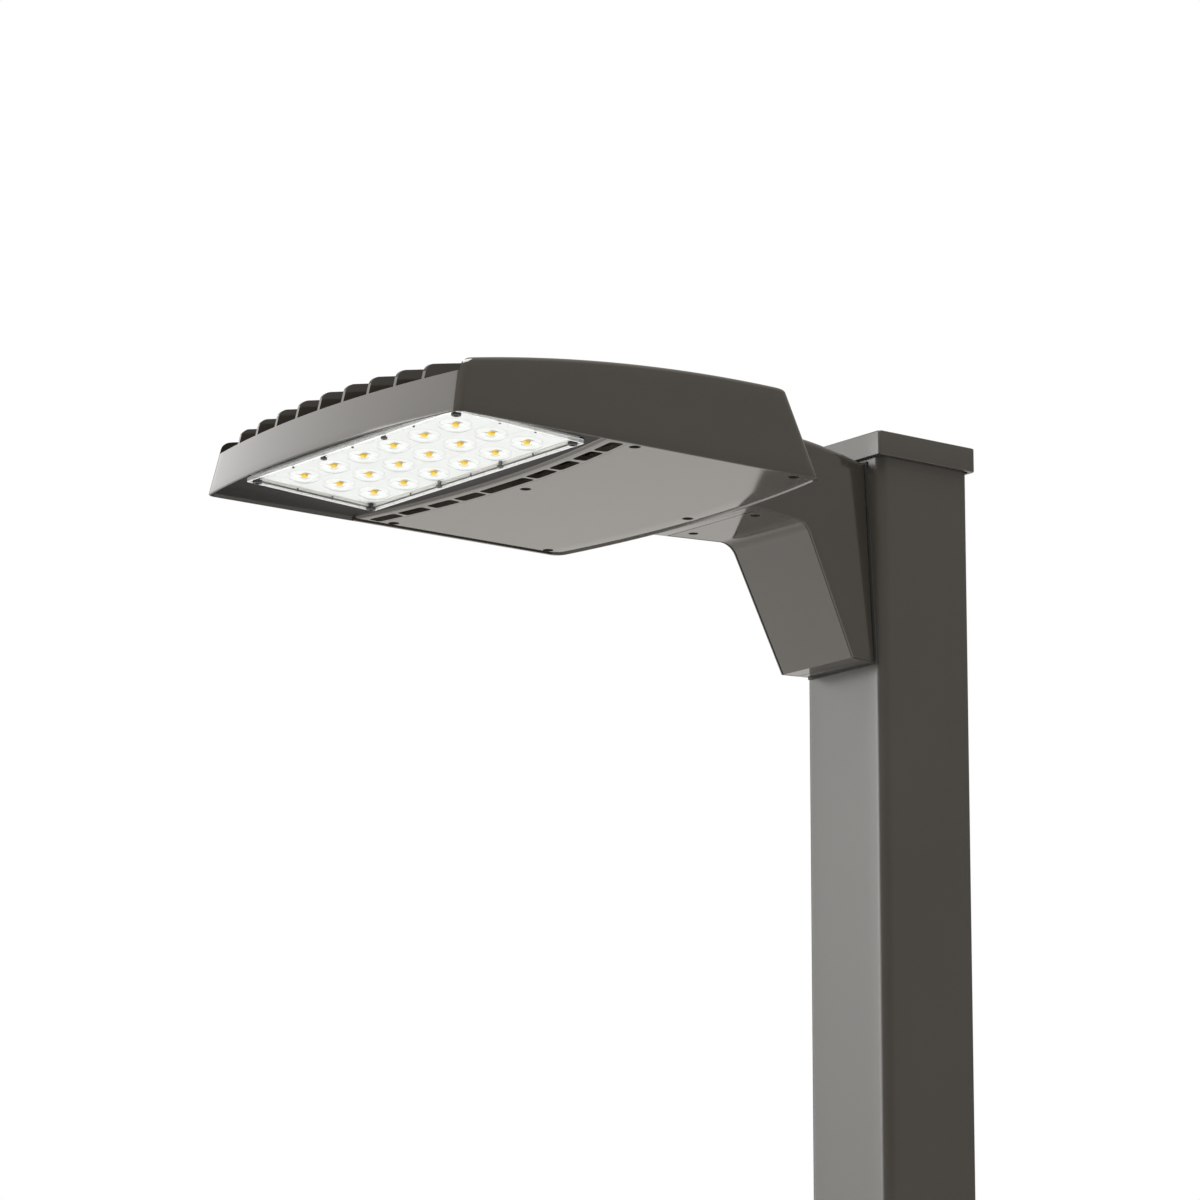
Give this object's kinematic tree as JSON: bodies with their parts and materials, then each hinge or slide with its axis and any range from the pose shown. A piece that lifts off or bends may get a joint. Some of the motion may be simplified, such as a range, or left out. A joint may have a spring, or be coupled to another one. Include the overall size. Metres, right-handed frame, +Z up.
{
  "type": "shoebox area light",
  "caption": "Flat finned LED head with an arched top, on a short tapered arm at the top of a square pole; its driver door, arm cover and pole cap come off.",
  "frame": {"origin": "on the pole's axis, at the lower end of the pole section", "axes": "+Z up along the pole, the head reaches out along -Y, X runs across the head"},
  "size_m": [0.35, 0.6548, 0.6908],
  "materials": {
    "bronze_paint": "dark bronze powder coat, semi-gloss",
    "pole_paint": "dark bronze powder coat, semi-gloss",
    "bezel_paint": "dark satin paint",
    "clear_optic": "clear moulded acrylic",
    "white_board": "white solder mask",
    "phosphor": "yellow phosphor",
    "thermal_sheet": "grey heat-conducting sheet",
    "black_rubber": "matte rubber",
    "plated_steel": "zinc-plated steel",
    "screw_steel": "stainless steel",
    "driver_can": "white painted can",
    "black_plastic": "moulded black plastic",
    "white_plastic": "moulded white plastic"
  },
  "bodies": {
    "fixture": {"pole_section": "pole_paint", "pole_backing_plate": "plated_steel", "pole_bolts": "plated_steel", "pole_washers": "plated_steel", "pole_gasket": "black_rubber", "pole_grommet": "black_rubber", "arm_casting": "bronze_paint", "head_gasket": "black_rubber", "head_bolts": "plated_steel", "head_washers": "plated_steel", "head_grommet": "black_rubber", "housing": "bronze_paint", "lens_bezel": "bezel_paint", "thermal_pad": "thermal_sheet", "led_board": "white_board", "led_chips": "phosphor", "lens_gasket": "white_plastic", "optic_lens": "clear_optic", "lens_corner_screws": "screw_steel", "lens_clamp_screws": "screw_steel", "lens_edge_pins": "screw_steel"},
    "door": {"driver_door": "bronze_paint", "door_gasket": "black_rubber", "door_screws": "screw_steel", "led_driver": "driver_can", "driver_screws": "plated_steel", "surge_protector": "black_plastic", "surge_screws": "plated_steel", "terminal_block": "white_plastic", "terminal_screws": "plated_steel"},
    "cover": {"arm_cover": "bronze_paint", "arm_cover_screws": "screw_steel"},
    "cap": {"pole_cap": "bronze_paint"}
  },
  "joints": [
    {"name": "door_drop", "type": "slide", "parent": "fixture", "child": "door", "axis": [0, 0, -1], "range_m": [0, 0.09]},
    {"name": "cover_drop", "type": "slide", "parent": "fixture", "child": "cover", "axis": [0, 0, -1], "range_m": [0, 0.08]},
    {"name": "cap_lift", "type": "slide", "parent": "fixture", "child": "cap", "axis": [0, 0, 1], "range_m": [0, 0.04]}
  ]
}
